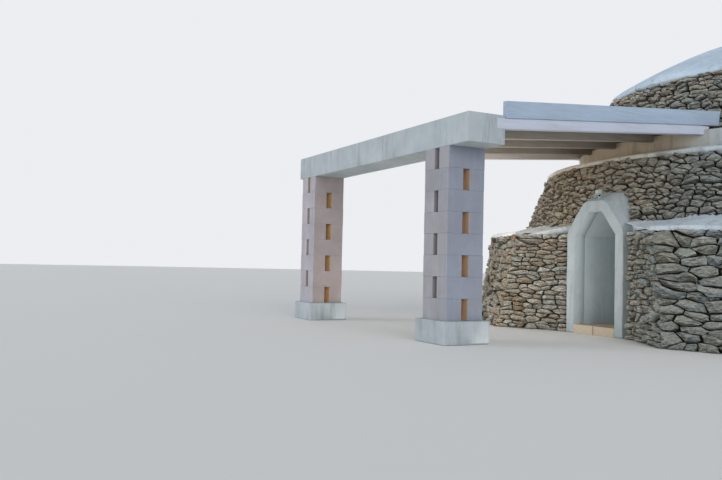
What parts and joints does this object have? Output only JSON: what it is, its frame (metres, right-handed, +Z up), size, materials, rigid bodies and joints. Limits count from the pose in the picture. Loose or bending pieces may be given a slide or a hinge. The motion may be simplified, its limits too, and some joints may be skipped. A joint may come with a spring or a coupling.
{
  "type": "stepped dry-stone trullo with a pergola",
  "caption": "Round stepped dry-stone house with plaster ledges, rounded cap, plastered portal and a lean-to pergola on slotted block piers.",
  "frame": {"origin": "axis of the round house at ground level, on the underside of the room's floor slab", "axes": "+Z up, -X out of the portal towards the pergola's piers, +Y to the right hand of someone who walks out"},
  "size_m": [11.925, 9.86, 4.76],
  "materials": {
    "dry_stone": "rough, unmortared limestone",
    "plaster": "hand-trowelled limewashed plaster",
    "tufa_block": "limewashed sawn soft limestone",
    "floor_slab": "worn limestone paving",
    "painted_timber": "white painted timber",
    "lamp_metal": "satin painted metal"
  },
  "bodies": {
    "root": {"lower_wall_1": "dry_stone", "lower_wall_2": "dry_stone", "lower_wall_3": "dry_stone", "lower_wall_4": "dry_stone", "lower_wall_5": "dry_stone", "lower_wall_6": "dry_stone", "lower_ledge": "plaster", "middle_wall_1": "dry_stone", "middle_wall_2": "dry_stone", "middle_wall_3": "dry_stone", "middle_wall_4": "dry_stone", "middle_wall_5": "dry_stone", "middle_wall_6": "dry_stone", "middle_wall_7": "dry_stone", "middle_wall_8": "dry_stone", "door_head": "dry_stone", "middle_ledge": "plaster", "joist_ring": "plaster", "upper_wall_1": "dry_stone", "upper_wall_2": "dry_stone", "upper_wall_3": "dry_stone", "upper_wall_4": "dry_stone", "upper_wall_5": "dry_stone", "upper_wall_6": "dry_stone", "roof_cap": "plaster", "portal": "plaster", "passage_lining": "plaster", "threshold": "floor_slab", "room_floor": "floor_slab", "portal_lamp": "lamp_metal", "near_pier_plinth": "tufa_block", "near_pier_shaft": "tufa_block", "far_pier_plinth": "tufa_block", "far_pier_shaft": "tufa_block", "header_beam": "plaster", "joist_1": "painted_timber", "joist_2": "painted_timber", "joist_3": "painted_timber", "joist_4": "painted_timber", "joist_5": "painted_timber", "front_board": "painted_timber", "roof_deck": "painted_timber"}
  },
  "joints": []
}
